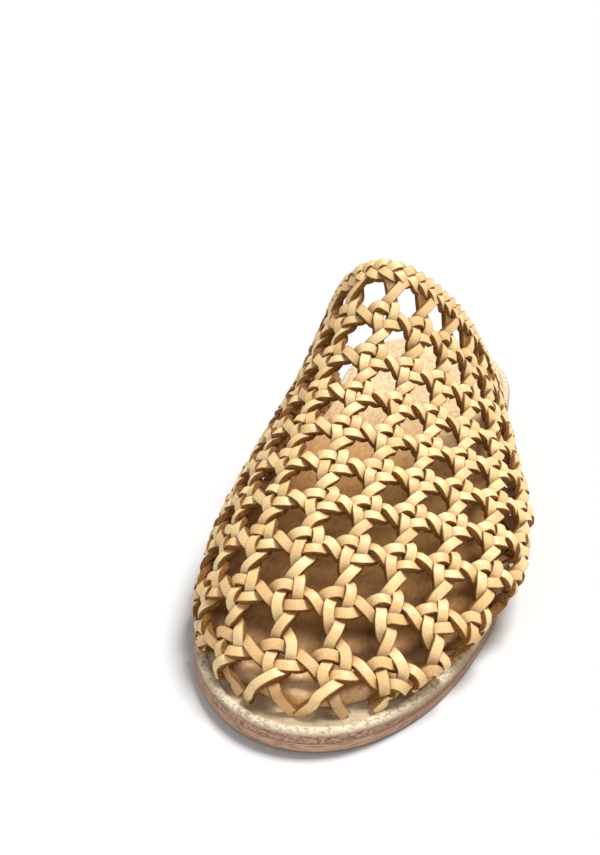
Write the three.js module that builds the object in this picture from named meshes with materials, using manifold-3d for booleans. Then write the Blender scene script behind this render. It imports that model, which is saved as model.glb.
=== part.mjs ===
import * as THREE from 'three';
import Module from 'manifold-3d';

// Sizes in millimetres. The toe points to -Y, the outer side of this left shoe to +X.
const footLength = 244;
const outsoleThickness = 2.4;
const midsoleThickness = 3.3;
const insoleThickness = 3.7;
const pieceGap = 0.3;
const toeSpring = 0.8;
const toeSpringEnd = 45;
const archRise = 1.0;
const archStart = 110;
const archEnd = 190;

// Weave: pairs of strips cross at junctions on a grid that follows the last
const rowCount = 9;
const rowPitch = 15.1;
const columnPitch = 12.9;
const firstColumn = -10;
const lastColumn = 8;
const firstRowArc = 18.3;
const firstColumnArc = 16.0;
const toePull = 1.6;
const toePullPower = 1.3;
const toePullRow = 3;
const rowPull = { row: [3, 6, 9, 9.6], arc: [0, 3.4, 4.4, 0] };
const lowestRow = 0.42;
const toeRow = 2.2;
const toePower = 1.5;
const toeMost = 1.8;
const toeFan = 0.11;
const toeFanColumn = 1.3;
const toeBow = 0.55;
const toeBowColumn = 0.1;
const toeBowReach = 3;
const featherHeight = 9;
const tuckLength = 5.0;
const pairOffset = 1 / 6;
const stripHalf = 0.111;
const crossingHalf = 0.146;
const levels = { under: -0.6, base: 0.6, raised: 1.6 };
const normalStep = 0.03;

// Strip ends, from an edge junction into the sole or the collar
const tail = { start: 0.4, half: 0.12, bottom: -0.5, top: 1.1 };
const soleTailLength = 1.1;
const collarTailLength = 0.45;
const toeTailSplay = 0.95;

// Braided collar along the back edge, past the last row
const collarRow = 9.8;
const collarHalfWidth = 0.28;
const collarStations = 64;
const collarInner = -0.7;
const collarShoulder = 0.9;
const collarCrown = 1.6;
const collarLobe = 0.35;
const collarLobePitch = 4.2;

// Half-widths of the feather line, from the toe tip to the heel
const outline = {
  station: [0, 4, 12, 25, 45, 70, 95, 125, 155, 185, 210, 230, 240, 244],
  medial: [0, 13.2, 22.3, 30.2, 35.8, 37.7, 36.6, 32.6, 28.7, 26.7, 26.2, 22.3, 14.4, 0],
  lateral: [0, 13.4, 22.7, 31.2, 38.8, 44.4, 45.2, 41.2, 37.0, 34.2, 32.7, 27.2, 17.3, 0],
};
const toeShift = 3.3;
const toeShiftEnd = 90;

// Ridge line of the last above the feather line
const ridge = {
  station: [-2.5, 0.5, 10, 25, 60, 100, 140, 175],
  height: [0, 2.0, 6.2, 16.6, 33.6, 48.2, 71.8, 77.8],
};
const ridgeSamples = 400;

// Cross sections of the last, by ridge station
const sections = {
  station: [0, 10, 22, 45, 70, 100, 140, 175],
  medialPower: [2.2, 2.15, 2.1, 2.0, 1.9, 1.85, 1.85, 1.85],
  lateralPower: [2.0, 1.95, 1.9, 1.75, 1.62, 1.45, 1.5, 1.5],
  ridgeOffset: [-4.8, -5.4, -8.9, -6.5, -4.7, -2.7, 1.2, 1.2],
  lean: [1.2, 1.22, 1.25, 1.23, 1.12, 0.98, 0.8, 0.8],
  bulge: [0, 3.8, 7.4, 10.5, 9.2, 6.2, -2.0, -2.0],
};
const sectionSteps = 80;
const swellScale = 27 / 4; // makes the highest swell equal to the bulge

// How far the sole pieces reach past the feather line
const ledge = {
  station: [0, 12, 45, 90, 130, 180, 244],
  medial: [6.4, 4.2, 0.9, 0.6, 1.0, 1.9, 2.5],
  lateral: [6.4, 4.9, 4.1, 1.9, 1.7, 2.2, 2.5],
};
const outlineSteps = 34;

// Edge profiles of the sole pieces, from the bottom up
const outsoleEdge = { height: [0, 0.5, outsoleThickness], inset: [0.6, 0.1, 0.1] };
const midsoleEdge = {
  height: [0, 0.5, midsoleThickness - 1.0, midsoleThickness],
  inset: [0.4, 0, 0, 1.0],
};
const insoleEdge = { height: [0, insoleThickness - 0.9, insoleThickness], inset: [0, 0, 0.9] };
const insoleInset = 1.5;
const insoleToeInset = 2.6;
const insoleToe = 0.6;
const insoleToeBow = 0.012;

// Monotone cubic curve through a table
function curve(xs, ys) {
  const last = xs.length - 1;
  const slopes = [];
  const tangents = [];
  for (let i = 0; i < last; i += 1) {
    slopes.push((ys[i + 1] - ys[i]) / (xs[i + 1] - xs[i]));
  }
  for (let i = 0; i <= last; i += 1) {
    const before = slopes[Math.max(i - 1, 0)];
    const after = slopes[Math.min(i, last - 1)];
    tangents.push(before * after > 0 ? (2 * before * after) / (before + after) : 0);
  }
  tangents[0] = slopes[0];
  tangents[last] = slopes[last - 1];
  return (x) => {
    const c = Math.min(Math.max(x, xs[0]), xs[last]);
    let i = 0;
    while (i < last - 1 && c > xs[i + 1]) {
      i += 1;
    }
    const h = xs[i + 1] - xs[i];
    const t = (c - xs[i]) / h;
    const u = 1 - t;
    const ends = ys[i] * u * u * (1 + 2 * t) + ys[i + 1] * t * t * (3 - 2 * t);
    return ends + h * t * u * (tangents[i] * u - tangents[i + 1] * t);
  };
}

const squares = (list) => list.map((v) => v * v);
const medialSquare = curve(outline.station, squares(outline.medial));
const lateralSquare = curve(outline.station, squares(outline.lateral));
const medialAt = (s) => Math.sqrt(Math.max(medialSquare(s), 0));
const lateralAt = (s) => Math.sqrt(Math.max(lateralSquare(s), 0));
const ridgeAt = curve(ridge.station, ridge.height);
const medialPowerAt = curve(sections.station, sections.medialPower);
const lateralPowerAt = curve(sections.station, sections.lateralPower);
const ridgeOffsetAt = curve(sections.station, sections.ridgeOffset);
const leanAt = curve(sections.station, sections.lean);
const bulgeAt = curve(sections.station, sections.bulge);
const rowPullAt = curve(rowPull.row, rowPull.arc);
const medialLedgeAt = curve(ledge.station, ledge.medial);
const lateralLedgeAt = curve(ledge.station, ledge.lateral);
const ledgeAt = (s, onLateral) => (onLateral ? lateralLedgeAt(s) : medialLedgeAt(s));
const shiftAt = (s) => toeShift * Math.max(1 - s / toeShiftEnd, 0) ** 2;

// Arc length along the ridge
const ridgeSpan = ridge.station.at(-1) - ridge.station[0];
const ridgeStations = [];
const ridgeArcs = [];
for (let k = 0; k <= ridgeSamples; k += 1) {
  const s = ridge.station[0] + (ridgeSpan * k) / ridgeSamples;
  const before = ridgeStations[k - 1];
  const step = k ? Math.hypot(s - before, ridgeAt(s) - ridgeAt(before)) : 0;
  ridgeStations.push(s);
  ridgeArcs.push((k ? ridgeArcs[k - 1] : 0) + step);
}

function ridgeStationAt(arc) {
  let i = 0;
  while (i < ridgeArcs.length - 2 && arc > ridgeArcs[i + 1]) {
    i += 1;
  }
  const t = (arc - ridgeArcs[i]) / (ridgeArcs[i + 1] - ridgeArcs[i]);
  return ridgeStations[i] + t * (ridgeStations[i + 1] - ridgeStations[i]);
}

// One leaning cross section of the last, from the outer to the inner feather line
const sectionCache = new Map();
function sectionAt(arc) {
  const key = Math.round(arc * 1e5);
  if (sectionCache.has(key)) {
    return sectionCache.get(key);
  }
  const s0 = ridgeStationAt(arc);
  const height = ridgeAt(s0);
  const offset = ridgeOffsetAt(s0);
  const points = [];
  const widths = [0];
  for (let k = 0; k <= sectionSteps; k += 1) {
    const angle = (Math.PI * k) / sectionSteps;
    const onLateral = k <= sectionSteps / 2;
    const power = 2 / (onLateral ? lateralPowerAt(s0) : medialPowerAt(s0));
    const rise = Math.abs(Math.sin(angle)) ** power;
    const reach = Math.abs(Math.cos(angle)) ** power;
    const station = s0 + leanAt(s0) * height * (1 - rise);
    const swell = swellScale * rise * (1 - rise) ** 2 * bulgeAt(s0);
    const outer = offset + (lateralAt(station) - offset) * reach + swell;
    const inner = offset - (medialAt(station) + offset) * reach;
    const x = (onLateral ? outer : inner) + shiftAt(station);
    const z = featherHeight + height * rise;
    points.push(new THREE.Vector3(x, station - footLength / 2, z));
    if (k) {
      widths.push(widths[k - 1] + points[k].distanceTo(points[k - 1]));
    }
  }
  const middle = widths[sectionSteps / 2];
  const section = { points, widths: widths.map((w) => middle - w) };
  sectionCache.set(key, section);
  return section;
}

// The rows stand further apart near the toe and below the collar
function arcOfRow(row) {
  const pulled = toePull * Math.max(toePullRow - row, 0) ** toePullPower;
  return firstRowArc + (row - 1) * rowPitch - pulled - rowPullAt(row);
}

const lowestArc = arcOfRow(lowestRow);

// Round the toe the rows bow back and the columns fan out
const toeShare = (row) => Math.min((Math.max(toeRow - row, 0) / (toeRow - 1)) ** toePower, toeMost);

function arcAt(column, row) {
  const away = Math.min(Math.abs(column - toeBowColumn), toeBowReach);
  return arcOfRow(row) + toeBow * toeShare(row) * away ** 2;
}

function widthAt(column, row) {
  const fanned = column + toeFan * toeShare(row) * (column - toeFanColumn);
  return firstColumnArc + fanned * columnPitch;
}

// Point of the upper's middle surface at a column and row of the weave
function surfacePoint(column, row) {
  const arc = Math.max(arcAt(column, row), lowestArc);
  const drop = arc - arcAt(column, row);
  const { points, widths } = sectionAt(arc);
  const width = widthAt(column, row);
  const last = sectionSteps;
  const over = Math.max(width - widths[0], widths[last] - width, 0);
  const w = Math.min(Math.max(width, widths[last]), widths[0]);
  let i = 0;
  while (i < last - 1 && w < widths[i + 1]) {
    i += 1;
  }
  const t = (widths[i] - w) / (widths[i] - widths[i + 1]);
  const point = points[i].clone().lerp(points[i + 1], t);
  point.z -= drop + over;
  return point;
}

function raisedPoint(column, row, height) {
  const { widths } = sectionAt(Math.max(arcAt(column, row), lowestArc));
  const width = widthAt(column, row);
  const beyond = width > widths[0] || width < widths[sectionSteps];
  const level = beyond ? Math.max(row, lowestRow + 2 * normalStep) : row;
  const right = surfacePoint(column + normalStep, level);
  const left = surfacePoint(column - normalStep, level);
  const ahead = surfacePoint(column, level + normalStep);
  const behind = surfacePoint(column, level - normalStep);
  const normal = right.sub(left).cross(ahead.sub(behind)).normalize();
  return surfacePoint(column, row).addScaledVector(normal, height);
}

const wasm = await Module();
wasm.setup();

function signedVolume(points, faces) {
  let sum = 0;
  for (const [a, b, c] of faces) {
    sum += points[a].dot(points[b].clone().cross(points[c]));
  }
  return sum / 6;
}

function solidFrom(points, faces) {
  const turned = signedVolume(points, faces) < 0;
  const vertProperties = new Float32Array(points.flatMap((p) => [p.x, p.y, p.z]));
  const triVerts = new Uint32Array(faces.flatMap(([a, b, c]) => (turned ? [a, c, b] : [a, b, c])));
  return new wasm.Manifold(new wasm.Mesh({ numProp: 3, vertProperties, triVerts }));
}

// Faces between rings of equal length, closed at both ends by the given cap
function sweepFaces(ringCount, size, cap) {
  const faces = [];
  for (let k = 0; k < ringCount - 1; k += 1) {
    for (let i = 0; i < size; i += 1) {
      const j = (i + 1) % size;
      const low = k * size;
      const high = low + size;
      faces.push([low + i, low + j, high + j]);
      faces.push([low + i, high + j, high + i]);
    }
  }
  const top = (ringCount - 1) * size;
  for (const [a, b, c] of cap) {
    faces.push([c, b, a]);
    faces.push([top + a, top + b, top + c]);
  }
  return faces;
}

function fanCap(size) {
  const faces = [];
  for (let i = 1; i < size - 1; i += 1) {
    faces.push([0, i, i + 1]);
  }
  return faces;
}

function sweepSolid(rings) {
  const size = rings[0].length;
  return solidFrom(rings.flat(), sweepFaces(rings.length, size, fanCap(size)));
}

// Cap of cross strips between the two long sides of a sole outline
function soleCap(steps) {
  const size = 2 * steps;
  const faces = [[0, 1, size - 1]];
  for (let k = 1; k < steps - 1; k += 1) {
    faces.push([k, k + 1, size - k - 1]);
    faces.push([k, size - k - 1, size - k]);
  }
  faces.push([steps - 1, steps, steps + 1]);
  return faces;
}

function outlineRing(offsetAt, z) {
  const ring = [];
  for (let k = 0; k < 2 * outlineSteps; k += 1) {
    const onLateral = k <= outlineSteps;
    const step = onLateral ? k : 2 * outlineSteps - k;
    const s = (footLength / 2) * (1 - Math.cos((Math.PI * step) / outlineSteps));
    const x = onLateral ? lateralAt(s) : -medialAt(s);
    ring.push(new THREE.Vector3(x + shiftAt(s), s, z));
  }
  return ring.map((p, k) => {
    const next = ring[(k + 1) % ring.length];
    const before = ring[(k + ring.length - 1) % ring.length];
    const out = new THREE.Vector3(next.y - before.y, before.x - next.x, 0).normalize();
    const moved = p.clone().addScaledVector(out, offsetAt(p.y, k <= outlineSteps));
    moved.y -= footLength / 2;
    return moved;
  });
}

function soleSolid(edge, bottom, ringAt) {
  const rings = edge.height.map((height, k) => ringAt(edge.inset[k], bottom + height));
  return solidFrom(rings.flat(), sweepFaces(rings.length, 2 * outlineSteps, soleCap(outlineSteps)));
}

// Outsole, midsole and insole
const midsoleBottom = outsoleThickness + pieceGap;
const insoleBottom = midsoleBottom + midsoleThickness + pieceGap;

function ledgeRing(inset, z) {
  return outlineRing((s, onLateral) => ledgeAt(s, onLateral) - inset, z);
}

function insoleRing(inset, z) {
  const toeInsetAt = (s) => insoleToeInset * Math.max(1 - s / toeSpringEnd, 0);
  const ring = outlineRing((s) => -insoleInset - inset - toeInsetAt(s), z);
  for (const p of ring) {
    const front = insoleToe + inset + insoleToeBow * p.x * p.x - footLength / 2;
    p.y = p.y < 0 ? Math.max(p.y, front) : p.y;
  }
  return ring;
}

const outsoleSolid = soleSolid(outsoleEdge, 0, ledgeRing);
const midsoleSolid = soleSolid(midsoleEdge, midsoleBottom, ledgeRing);
const insoleSolid = soleSolid(insoleEdge, insoleBottom, insoleRing);

// One junction tile is four turned quarters: [across, along, level] of each corner, in pitches
const outerEdge = pairOffset + stripHalf;
const innerEdge = pairOffset - stripHalf;
const corners = {
  startOuter: [-outerEdge, innerEdge, 'base'],
  startCrest: [-pairOffset, innerEdge, 'raised'],
  startMiddle: [-innerEdge, innerEdge, 'base'],
  startInner: [innerEdge, innerEdge, 'base'],
  endOuter: [-outerEdge, outerEdge, 'base'],
  endCrest: [-pairOffset, outerEdge, 'raised'],
  endInner: [innerEdge, outerEdge, 'base'],
  endFar: [outerEdge, outerEdge, 'base'],
  crossLeft: [-crossingHalf, 0.5, 'raised'],
  crossRight: [crossingHalf, 0.5, 'raised'],
  endOuterUnder: [-outerEdge, outerEdge, 'under'],
  endFarUnder: [outerEdge, outerEdge, 'under'],
  crossLeftUnder: [-crossingHalf, 0.5, 'under'],
  crossRightUnder: [crossingHalf, 0.5, 'under'],
  middleLeft: [-innerEdge, -innerEdge, 'base'],
  middleRight: [innerEdge, -innerEdge, 'base'],
  underLeft: [-outerEdge, -outerEdge, 'under'],
  underRight: [outerEdge, -outerEdge, 'under'],
};
const quarterFaces = [
  ['startOuter', 'startCrest', 'endCrest'],
  ['startOuter', 'endCrest', 'endOuter'],
  ['startCrest', 'startInner', 'endInner'],
  ['startCrest', 'endInner', 'endCrest'],
  ['startOuter', 'startMiddle', 'startCrest'],
  ['startMiddle', 'startInner', 'startCrest'],
  ['endInner', 'endOuter', 'endCrest'],
  ['endOuter', 'endInner', 'crossRight'],
  ['endOuter', 'crossRight', 'crossLeft'],
  ['endInner', 'endFar', 'crossRight'],
  ['endOuter', 'crossLeft', 'crossLeftUnder'],
  ['endOuter', 'crossLeftUnder', 'endOuterUnder'],
  ['crossRight', 'endFar', 'endFarUnder'],
  ['crossRight', 'endFarUnder', 'crossRightUnder'],
  ['endOuterUnder', 'crossLeftUnder', 'crossRightUnder'],
  ['endOuterUnder', 'crossRightUnder', 'endFarUnder'],
];
const centreFaces = [
  ['middleLeft', 'middleRight', 'startInner'],
  ['middleLeft', 'startInner', 'startMiddle'],
  ['underLeft', 'endOuterUnder', 'endFarUnder'],
  ['underLeft', 'endFarUnder', 'underRight'],
];
const endFaces = [
  ['crossLeftUnder', 'crossLeft', 'crossRight'],
  ['crossLeftUnder', 'crossRight', 'crossRightUnder'],
];
const quarterTurns = { toCollar: 0, toToe: 2, count: 4 };

function turn(across, along, times) {
  let point = [across, along];
  for (let k = 0; k < times; k += 1) {
    point = [point[1], -point[0]];
  }
  return point;
}

const tiles = new Set();
for (let row = 1; row <= rowCount; row += 1) {
  for (let column = firstColumn; column <= lastColumn; column += 1) {
    const { widths } = sectionAt(arcAt(column, row));
    const width = widthAt(column, row);
    if (width < widths[0] - tuckLength && width > widths[sectionSteps] + tuckLength) {
      tiles.add(`${column},${row}`);
    }
  }
}

const tilePoints = [];
const tileFaces = [];
const tileIndex = new Map();
function tileVertex(column, row, times, [across, along, level]) {
  const [columnStep, rowStep] = turn(across, along, times);
  const q = column + columnStep;
  const r = row + rowStep;
  const key = `${Math.round(q * 1e4)},${Math.round(r * 1e4)},${level}`;
  if (!tileIndex.has(key)) {
    tileIndex.set(key, tilePoints.length);
    tilePoints.push(raisedPoint(q, r, levels[level]));
  }
  return tileIndex.get(key);
}

// Strip end that carries on from an edge junction, drifting sideways by the splay
function tailSolid(column, row, times, length, splay) {
  const rings = [0, length / 2, length].map((reach) => {
    const [left, right] = [-tail.half, tail.half].map((half) => {
      const [columnStep, rowStep] = turn(half + splay * reach, tail.start + reach, times);
      return (height) => raisedPoint(column + columnStep, row + rowStep, height);
    });
    return [left(tail.bottom), right(tail.bottom), right(tail.top), left(tail.top)];
  });
  return sweepSolid(rings);
}

const upperSolids = [];
for (const name of tiles) {
  const [column, row] = name.split(',').map(Number);
  const addFaces = (list, times) => {
    for (const face of list) {
      tileFaces.push(face.map((label) => tileVertex(column, row, times, corners[label])));
    }
  };
  addFaces(centreFaces, 0);
  for (let times = 0; times < quarterTurns.count; times += 1) {
    addFaces(quarterFaces, times);
    const [columnStep, rowStep] = turn(0, 1, times);
    if (!tiles.has(`${column + columnStep},${row + rowStep}`)) {
      const atCollar = row === rowCount && times === quarterTurns.toCollar;
      const atToe = row === 1 && times === quarterTurns.toToe;
      const length = atCollar ? collarTailLength : soleTailLength;
      addFaces(endFaces, times);
      for (const splay of atToe ? [-toeTailSplay, toeTailSplay] : [0]) {
        upperSolids.push(tailSolid(column, row, times, length, splay));
      }
    }
  }
}
upperSolids.push(solidFrom(tilePoints, tileFaces));

// Collar braid as one lobed band
const collarWidths = sectionAt(arcOfRow(collarRow)).widths;
const collarFrom = (collarWidths[0] + tuckLength - firstColumnArc) / columnPitch;
const collarTo = (collarWidths[sectionSteps] - tuckLength - firstColumnArc) / columnPitch;
const collarRings = [];
for (let k = 0; k <= collarStations; k += 1) {
  const q = collarFrom + ((collarTo - collarFrom) * k) / collarStations;
  const lobe = collarLobe * Math.cos((2 * Math.PI * q * columnPitch) / collarLobePitch);
  const profile = [
    [-collarHalfWidth, collarInner],
    [collarHalfWidth, collarInner],
    [collarHalfWidth, collarShoulder],
    [collarHalfWidth / 2, collarCrown + lobe],
    [-collarHalfWidth / 2, collarCrown - lobe],
    [-collarHalfWidth, collarShoulder],
  ];
  collarRings.push(profile.map(([rowStep, height]) => raisedPoint(q, collarRow + rowStep, height)));
}
upperSolids.push(sweepSolid(collarRings));

// The upper stops just above the midsole
const trimReach = footLength;
const trimRings = [-footLength, insoleBottom].map((z) => [
  new THREE.Vector3(-trimReach, -trimReach, z),
  new THREE.Vector3(trimReach, -trimReach, z),
  new THREE.Vector3(trimReach, trimReach, z),
  new THREE.Vector3(-trimReach, trimReach, z),
]);
const wovenSolid = wasm.Manifold.union(upperSolids).subtract(sweepSolid(trimRings));
const upperSolid = wovenSolid.decompose().sort((a, b) => b.volume() - a.volume())[0];

// Toe spring and arch bend every piece alike, so the gaps stay the same
function lift(s) {
  const spring = toeSpring * Math.max(1 - s / toeSpringEnd, 0) ** 2;
  const along = Math.min(Math.max((s - archStart) / (archEnd - archStart), 0), 1);
  return spring + archRise * Math.sin(Math.PI * along) ** 2;
}

function makePiece(name, solid, colour, roughness) {
  const mesh = solid.getMesh();
  const position = [];
  for (let k = 0; k < mesh.vertProperties.length; k += mesh.numProp) {
    const [x, y, z] = mesh.vertProperties.slice(k, k + 3);
    position.push(x, y, z + lift(y + footLength / 2));
  }
  const geometry = new THREE.BufferGeometry();
  geometry.setAttribute('position', new THREE.Float32BufferAttribute(position, 3));
  geometry.setIndex(Array.from(mesh.triVerts));
  const material = new THREE.MeshStandardMaterial({ color: colour, roughness, flatShading: true });
  const piece = new THREE.Mesh(geometry, material);
  piece.name = name;
  return piece;
}

const group = new THREE.Group();
group.name = 'woven_mule';
group.add(makePiece('outsole', outsoleSolid, 0xa8795a, 0.6));
group.add(makePiece('midsole', midsoleSolid, 0xd8bd96, 0.7));
group.add(makePiece('insole', insoleSolid, 0xd9b88a, 0.9));
group.add(makePiece('upper', upperSolid, 0xe2c193, 0.5));

// The origin sits under the middle of the whole shoe
const bounds = new THREE.Box3().setFromObject(group);
const middle = bounds.getCenter(new THREE.Vector3());
for (const piece of group.children) {
  piece.geometry.translate(-middle.x, -middle.y, -bounds.min.z);
  piece.geometry.computeVertexNormals();
}

export default group;
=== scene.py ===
import math
import bpy
import numpy as np
from mathutils import Matrix, Vector


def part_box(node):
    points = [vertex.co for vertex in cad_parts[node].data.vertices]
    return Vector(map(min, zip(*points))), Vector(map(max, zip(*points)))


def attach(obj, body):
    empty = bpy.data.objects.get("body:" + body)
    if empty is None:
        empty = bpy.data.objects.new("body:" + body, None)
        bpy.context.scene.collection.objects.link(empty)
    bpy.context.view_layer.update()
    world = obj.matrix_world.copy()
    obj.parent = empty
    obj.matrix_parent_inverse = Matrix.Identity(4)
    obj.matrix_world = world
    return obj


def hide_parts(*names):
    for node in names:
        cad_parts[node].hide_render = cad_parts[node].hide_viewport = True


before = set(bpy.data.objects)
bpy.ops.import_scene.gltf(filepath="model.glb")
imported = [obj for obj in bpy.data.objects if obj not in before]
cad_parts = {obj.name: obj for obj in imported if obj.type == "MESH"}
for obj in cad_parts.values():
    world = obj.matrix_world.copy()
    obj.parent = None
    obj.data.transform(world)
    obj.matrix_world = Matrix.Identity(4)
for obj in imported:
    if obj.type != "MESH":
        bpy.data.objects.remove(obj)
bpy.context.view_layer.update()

mm = 0.001
tiny = 1e-9

# The last: the same tables as the solids, in millimetres
lastShape = {
    "footLength": 244.0,
    "featherHeight": 9.0,
    "station": [0, 4, 12, 25, 45, 70, 95, 125, 155, 185, 210, 230, 240, 244],
    "medial": [0, 13.2, 22.3, 30.2, 35.8, 37.7, 36.6, 32.6, 28.7, 26.7, 26.2, 22.3, 14.4, 0],
    "lateral": [0, 13.4, 22.7, 31.2, 38.8, 44.4, 45.2, 41.2, 37.0, 34.2, 32.7, 27.2, 17.3, 0],
    "toeShift": 3.3,
    "toeShiftEnd": 90.0,
    "ridgeStation": [-2.5, 0.5, 10, 25, 60, 100, 140, 175],
    "ridgeHeight": [0, 2.0, 6.2, 16.6, 33.6, 48.2, 71.8, 77.8],
    "sectionStation": [0, 10, 22, 45, 70, 100, 140, 175],
    "medialPower": [2.2, 2.15, 2.1, 2.0, 1.9, 1.85, 1.85, 1.85],
    "lateralPower": [2.0, 1.95, 1.9, 1.75, 1.62, 1.45, 1.5, 1.5],
    "ridgeOffset": [-4.8, -5.4, -8.9, -6.5, -4.7, -2.7, 1.2, 1.2],
    "lean": [1.2, 1.22, 1.25, 1.23, 1.12, 0.98, 0.8, 0.8],
    "bulge": [0, 3.8, 7.4, 10.5, 9.2, 6.2, -2.0, -2.0],
    "toeSpring": 0.8,
    "toeSpringEnd": 45.0,
    "archRise": 1.0,
    "archStart": 110.0,
    "archEnd": 190.0,
    "ridgeSamples": 801,
    "sectionSamples": 81,
}

# The weave: pairs of strips on a grid of rows and columns
weave = {
    "rowCount": 9,
    "rowPitch": 15.1,
    "columnPitch": 12.9,
    "firstRowArc": 18.3,
    "firstColumnArc": 16.0,
    "toePull": 1.6,
    "toePullPower": 1.3,
    "toePullRow": 3,
    "pullRow": [3, 6, 9, 9.6],
    "pullArc": [0, 3.4, 4.4, 0],
    "lowestRow": 0.42,
    "toeRow": 2.2,
    "toePower": 1.5,
    "toeMost": 1.8,
    "toeFan": 0.11,
    "toeFanColumn": 1.3,
    "toeBow": 0.55,
    "toeBowColumn": 0.1,
    "toeBowReach": 3.0,
    "columns": range(-10, 9),
    "junctionMargin": -2.0,
    "endCrossing": 1.25,
    "pairOffset": 1 / 6,
    "stripWidth": 3.2,
    "stripThickness": 1.75,
    "cornerRadius": 0.32,
    "cornerSteps": 3,
    "cutFrom": 0.8,
    "cutFull": 0.3,
    "rise": 0.95,
    "outward": 0.2,
    "paintedShadeFrom": 0.3,
    "step": 1.1,
    "wander": 0.3,
    "roll": 9.0,
    "topRow": 9.76,
    "endReach": 9.0,
    "toeReach": 1.3,
    "samples": 40,
    "normalStep": 0.03,
    "endGap": 0.05,
    "fewestPoints": 12,
    "fewestSteps": 3,
    "knotSpacing": 9,
    "fewestKnots": 4,
    "seed": 11,
}


def tableCurve(xs, ys):  # monotone cubic through a table
    xs, ys = np.array(xs, float), np.array(ys, float)
    slopes = np.diff(ys) / np.diff(xs)
    tangents = np.zeros_like(xs)
    before, after = slopes[:-1], slopes[1:]
    same = before * after > 0
    total = np.where(same, before + after, 1.0)
    tangents[1:-1] = np.where(same, 2 * before * after / total, 0)
    tangents[0], tangents[-1] = slopes[0], slopes[-1]

    def value(x):
        c = np.clip(np.asarray(x, float), xs[0], xs[-1])
        i = np.clip(np.searchsorted(xs, c, side="left") - 1, 0, len(xs) - 2)
        h = xs[i + 1] - xs[i]
        t = (c - xs[i]) / h
        u = 1 - t
        ends = ys[i] * u * u * (1 + 2 * t) + ys[i + 1] * t * t * (3 - 2 * t)
        return ends + h * t * u * (tangents[i] * u - tangents[i + 1] * t)

    return value


medialSquare = tableCurve(lastShape["station"], np.square(lastShape["medial"]))
lateralSquare = tableCurve(lastShape["station"], np.square(lastShape["lateral"]))
ridgeAt = tableCurve(lastShape["ridgeStation"], lastShape["ridgeHeight"])
sectionAt = {
    name: tableCurve(lastShape["sectionStation"], lastShape[name])
    for name in ("medialPower", "lateralPower", "ridgeOffset", "lean", "bulge")
}
rowPullAt = tableCurve(weave["pullRow"], weave["pullArc"])


def unit(vectors):
    return vectors / np.maximum(np.linalg.norm(vectors, axis=1, keepdims=True), tiny)


def medialAt(s):
    return np.sqrt(np.maximum(medialSquare(s), 0))


def lateralAt(s):
    return np.sqrt(np.maximum(lateralSquare(s), 0))


def shiftAt(s):
    return lastShape["toeShift"] * np.maximum(1 - s / lastShape["toeShiftEnd"], 0) ** 2


def liftAt(s):
    spring = lastShape["toeSpring"] * np.maximum(1 - s / lastShape["toeSpringEnd"], 0) ** 2
    along = (s - lastShape["archStart"]) / (lastShape["archEnd"] - lastShape["archStart"])
    return spring + lastShape["archRise"] * np.sin(np.pi * np.clip(along, 0, 1)) ** 2


ridgeEnds = lastShape["ridgeStation"][0], lastShape["ridgeStation"][-1]
ridgeStations = np.linspace(*ridgeEnds, lastShape["ridgeSamples"])
ridgeSteps = np.hypot(np.diff(ridgeStations), np.diff(ridgeAt(ridgeStations)))
ridgeArcs = np.concatenate([[0], np.cumsum(ridgeSteps)])
sectionAngles = np.linspace(0, np.pi, lastShape["sectionSamples"])
ridgeIndex = lastShape["sectionSamples"] // 2
swellPeak = 27 / 4  # the swell's curve then tops out at the table's value


def lastSections(arc):  # leaning cross sections, one row of points for each arc
    s0 = np.interp(arc, ridgeArcs, ridgeStations)[:, None]
    height = ridgeAt(s0)
    offset = sectionAt["ridgeOffset"](s0)
    onLateral = np.arange(len(sectionAngles))[None, :] <= ridgeIndex
    power = 2 / np.where(onLateral, sectionAt["lateralPower"](s0), sectionAt["medialPower"](s0))
    rise = np.abs(np.sin(sectionAngles))[None, :] ** power
    reach = np.abs(np.cos(sectionAngles))[None, :] ** power
    station = s0 + sectionAt["lean"](s0) * height * (1 - rise)
    swell = swellPeak * rise * (1 - rise) ** 2 * sectionAt["bulge"](s0)
    outer = offset + (lateralAt(station) - offset) * reach + swell
    inner = offset - (medialAt(station) + offset) * reach
    x = np.where(onLateral, outer, inner) + shiftAt(station)
    points = np.stack([x, station, lastShape["featherHeight"] + height * rise], -1)
    lengths = np.linalg.norm(np.diff(points, axis=1), axis=2)
    along = np.concatenate([np.zeros((len(points), 1)), np.cumsum(lengths, axis=1)], axis=1)
    return points, along[:, ridgeIndex:ridgeIndex + 1] - along


def arcOfRow(r):
    pulled = weave["toePull"] * np.maximum(weave["toePullRow"] - r, 0) ** weave["toePullPower"]
    return weave["firstRowArc"] + (r - 1) * weave["rowPitch"] - pulled - rowPullAt(r)


def toeShare(r):
    share = (np.maximum(weave["toeRow"] - r, 0) / (weave["toeRow"] - 1)) ** weave["toePower"]
    return np.minimum(share, weave["toeMost"])


def arcAt(q, r):  # the rows bow back round the toe
    away = np.minimum(np.abs(q - weave["toeBowColumn"]), weave["toeBowReach"])
    return arcOfRow(r) + weave["toeBow"] * toeShare(r) * away ** 2


def widthAt(q, r):  # the columns fan out towards the toe
    fanned = q + weave["toeFan"] * toeShare(r) * (q - weave["toeFanColumn"])
    return weave["firstColumnArc"] + fanned * weave["columnPitch"]


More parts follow.
